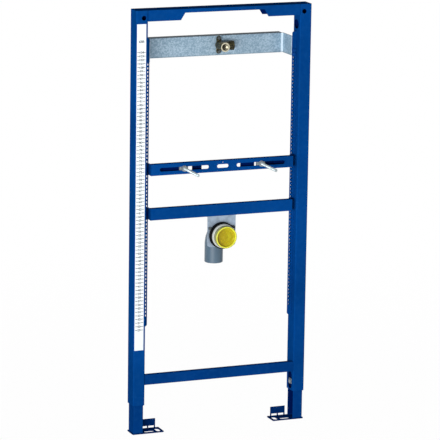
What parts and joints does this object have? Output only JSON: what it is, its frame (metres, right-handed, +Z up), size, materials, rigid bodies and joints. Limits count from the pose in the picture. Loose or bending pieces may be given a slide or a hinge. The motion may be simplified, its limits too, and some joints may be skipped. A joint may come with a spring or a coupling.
{
  "type": "urinal installation frame",
  "caption": "Tall steel mounting frame on telescopic feet, with cross bars, wall studs, a water elbow and a capped waste bend for a wall-hung urinal.",
  "frame": {"origin": "on the floor, midway between the floor slots of the two feet", "axes": "+X to the right seen from the room, -Y towards the room, +Z up"},
  "size_m": [0.5, 0.2125, 1.15],
  "materials": {
    "blue_paint": "semi-gloss stoved paint",
    "galvanised_sheet": "spangled zinc",
    "zinc_plate": "bright zinc plate",
    "zinc_fasteners": "bright zinc plate",
    "dark_fasteners": "dark painted over",
    "brass": "raw brass",
    "grey_pipe": "satin moulding",
    "black_rubber": "matt",
    "pale_collar": "satin moulding",
    "yellow_cap": "translucent gloss",
    "scale_vinyl": "printed film"
  },
  "bodies": {
    "frame": {"left_post": "blue_paint", "right_post": "blue_paint", "top_bar": "blue_paint", "bottom_bar": "blue_paint", "left_rail": "blue_paint", "right_rail": "blue_paint", "fixing_bar": "blue_paint", "fixing_bar_screws": "dark_fasteners", "waste_bar": "blue_paint", "waste_bar_screws": "dark_fasteners", "supply_bar": "galvanised_sheet", "supply_bar_screws": "dark_fasteners", "supply_elbow": "brass", "waste_bracket": "zinc_plate", "waste_bend": "grey_pipe", "waste_seal": "black_rubber", "waste_collar": "pale_collar", "waste_cap": "yellow_cap", "scale_strip": "scale_vinyl", "left_clamp_bolt": "zinc_fasteners", "right_clamp_bolt": "zinc_fasteners"},
    "left_leg_body": {"left_leg": "blue_paint", "left_foot": "blue_paint"},
    "right_leg_body": {"right_leg": "blue_paint", "right_foot": "blue_paint"},
    "left_stud_body": {"left_stud": "zinc_fasteners", "left_stud_washer": "zinc_fasteners", "left_stud_nut": "zinc_fasteners", "left_slide_nut": "zinc_fasteners"},
    "right_stud_body": {"right_stud": "zinc_fasteners", "right_stud_washer": "zinc_fasteners", "right_stud_nut": "zinc_fasteners", "right_slide_nut": "zinc_fasteners"}
  },
  "joints": [
    {"name": "left_leg_slide", "type": "slide", "parent": "frame", "child": "left_leg_body", "axis": [0, 0, -1], "range_m": [-0.0725, 0.1275]},
    {"name": "right_leg_slide", "type": "slide", "parent": "frame", "child": "right_leg_body", "axis": [0, 0, -1], "range_m": [-0.0725, 0.1275]},
    {"name": "left_stud_slide", "type": "slide", "parent": "frame", "child": "left_stud_body", "axis": [-1, 0, 0], "range_m": [-0.06, 0.06]},
    {"name": "right_stud_slide", "type": "slide", "parent": "frame", "child": "right_stud_body", "axis": [1, 0, 0], "range_m": [-0.06, 0.06]}
  ]
}
